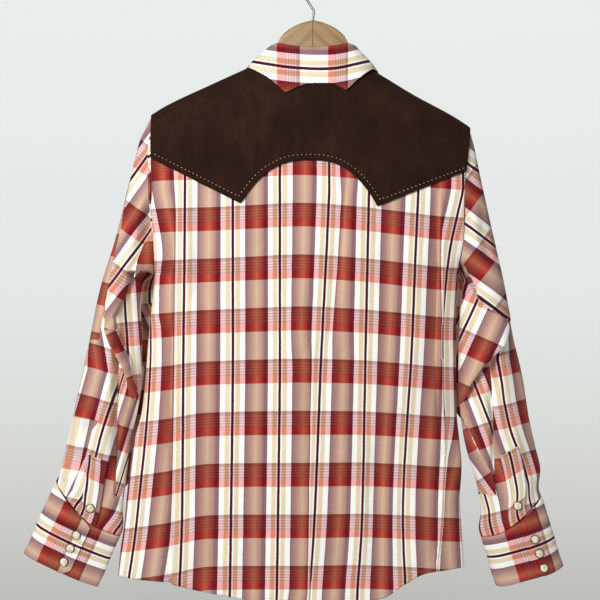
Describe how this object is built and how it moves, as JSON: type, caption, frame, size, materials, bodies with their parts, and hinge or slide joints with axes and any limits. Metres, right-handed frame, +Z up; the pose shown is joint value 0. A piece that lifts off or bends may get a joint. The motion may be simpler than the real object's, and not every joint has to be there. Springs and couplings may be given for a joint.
{
  "type": "western snap shirt on a hanger",
  "caption": "Long-sleeved western shirt of checked cloth with a pointed suede back yoke and pearl snaps, hung on a wooden hanger with a wire hook.",
  "frame": {"origin": "inside top of the hanger's hook, where a rod or wall hook carries it", "axes": "+Z up; the shirt's back faces -Y and its front +Y; +X is to the right of a viewer who looks at the back"},
  "size_m": [0.728, 0.086, 0.8528],
  "materials": {
    "check_cloth": "soft woven cotton, matt, with a check of cream, maroon, red and mauve",
    "suede": "dark brown napped suede, matt",
    "wood": "light wood with a satin lacquer",
    "wire": "smooth plated wire",
    "pearl": "domed pearl cap in a dark metal ring"
  },
  "bodies": {
    "root": {"back_panel": "check_cloth", "back_yoke": "suede", "front_left": "check_cloth", "front_right": "check_cloth", "front_placket": "check_cloth", "collar_stand": "check_cloth", "collar_fall": "check_cloth", "sleeve_left": "check_cloth", "sleeve_right": "check_cloth", "sleeve_placket_left": "check_cloth", "sleeve_placket_right": "check_cloth", "cuff_left": "check_cloth", "cuff_right": "check_cloth", "front_snap_1": "pearl", "front_snap_2": "pearl", "front_snap_3": "pearl", "front_snap_4": "pearl", "front_snap_5": "pearl", "front_snap_6": "pearl", "front_snap_7": "pearl", "stand_snap": "pearl", "sleeve_snap_left": "pearl", "sleeve_snap_right": "pearl", "cuff_snap_left_1": "pearl", "cuff_snap_left_2": "pearl", "cuff_snap_left_3": "pearl", "cuff_snap_right_1": "pearl", "cuff_snap_right_2": "pearl", "cuff_snap_right_3": "pearl", "hanger_body": "wood", "hanger_hook": "wire"}
  },
  "joints": []
}
